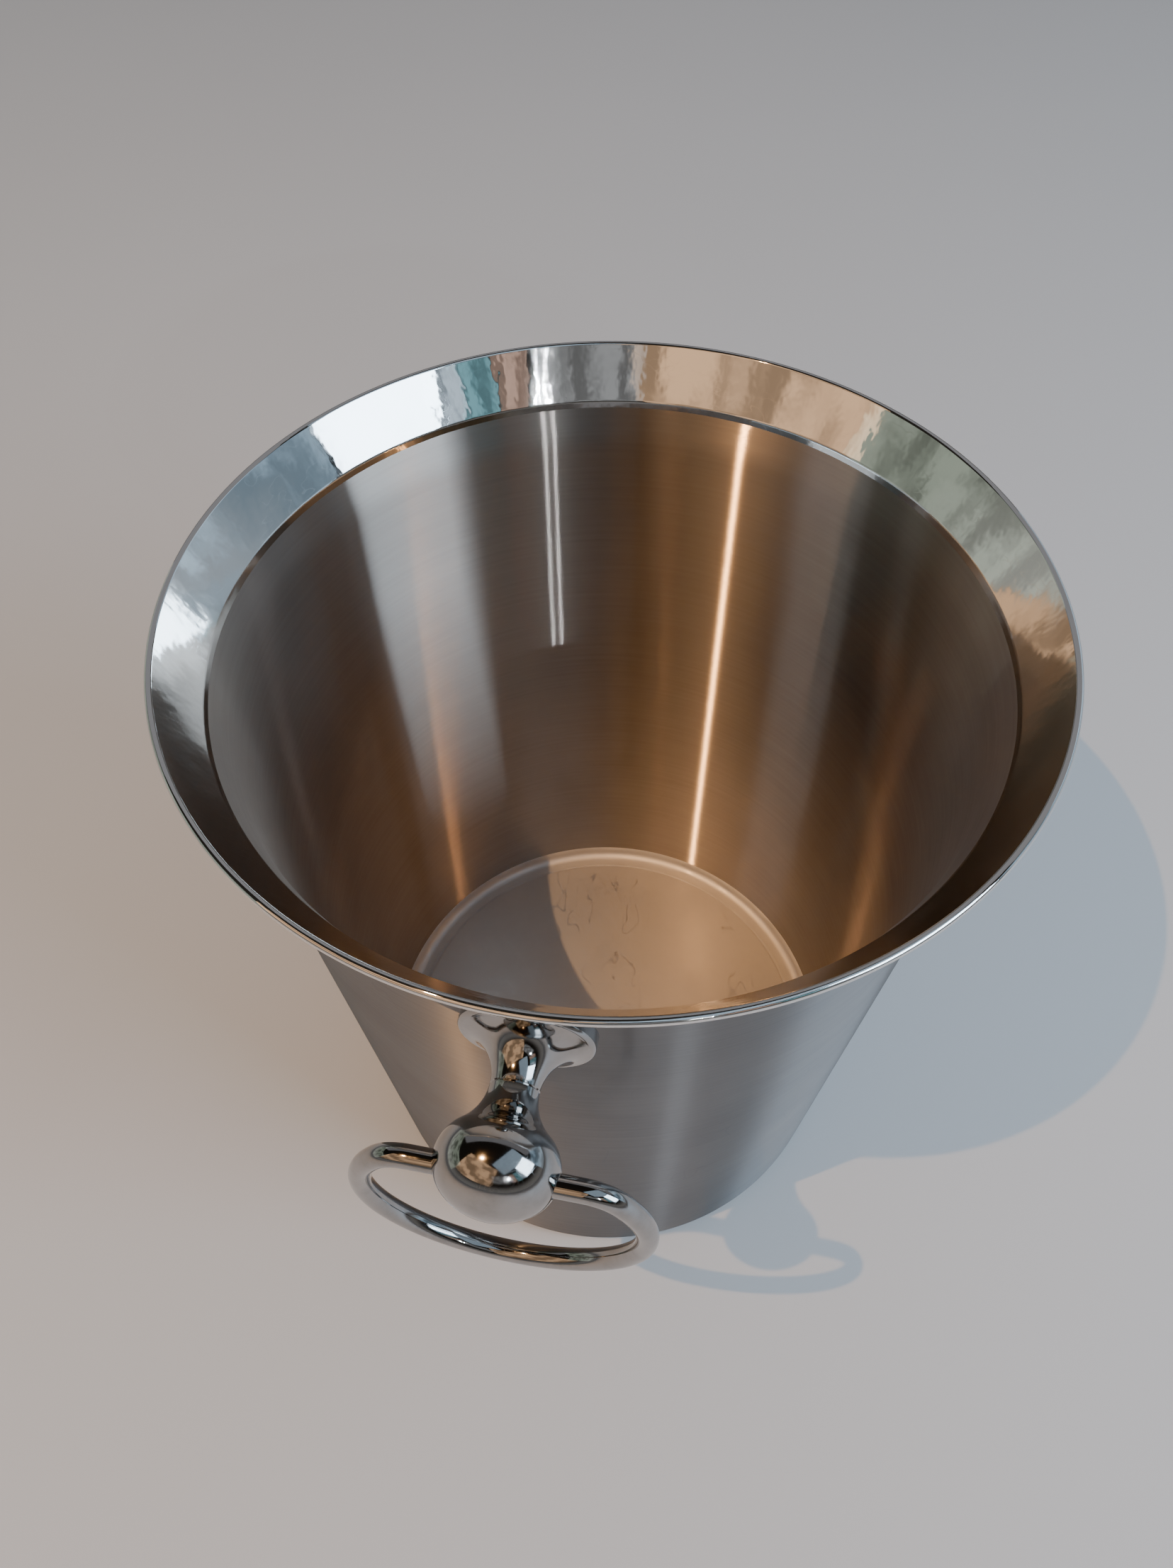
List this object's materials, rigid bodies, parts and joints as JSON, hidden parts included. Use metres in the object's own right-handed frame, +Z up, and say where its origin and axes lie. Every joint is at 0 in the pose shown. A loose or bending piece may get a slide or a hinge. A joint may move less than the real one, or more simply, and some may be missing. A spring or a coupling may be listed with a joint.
{
  "type": "champagne bucket",
  "caption": "Round tapered bucket with a flared, polished lip and, on opposite sides, knobs that each hold a swinging D-shaped ring handle.",
  "frame": {"origin": "centre of the base, on the surface that the bucket stands on", "axes": "+Z up along the bucket's axis; +Y from the front handle to the back handle; +X to the right seen from the front handle"},
  "size_m": [0.21, 0.2612, 0.222],
  "materials": {
    "satin_steel": "satin stainless steel, brushed round the bucket, with a mirror-polished lip and rim",
    "polished_steel": "mirror-polished cast stainless steel with faint handling marks",
    "stud_steel": "plain turned stainless steel"
  },
  "bodies": {
    "bucket": {"bucket_shell": "satin_steel", "front_stud": "stud_steel", "front_escutcheon": "polished_steel", "front_knob": "polished_steel", "back_stud": "stud_steel", "back_escutcheon": "polished_steel", "back_knob": "polished_steel"},
    "front_handle": {"front_ring": "polished_steel"},
    "back_handle": {"back_ring": "polished_steel"}
  },
  "joints": [
    {"name": "front_ring_swing", "type": "hinge", "parent": "bucket", "child": "front_handle", "pos_m": [0, -0.12181, 0.18791], "axis": [-1, 0, 0], "range_deg": [-35, 206]},
    {"name": "back_ring_swing", "type": "hinge", "parent": "bucket", "child": "back_handle", "pos_m": [0, 0.12181, 0.18791], "axis": [1, 0, 0], "range_deg": [-35, 206]}
  ]
}
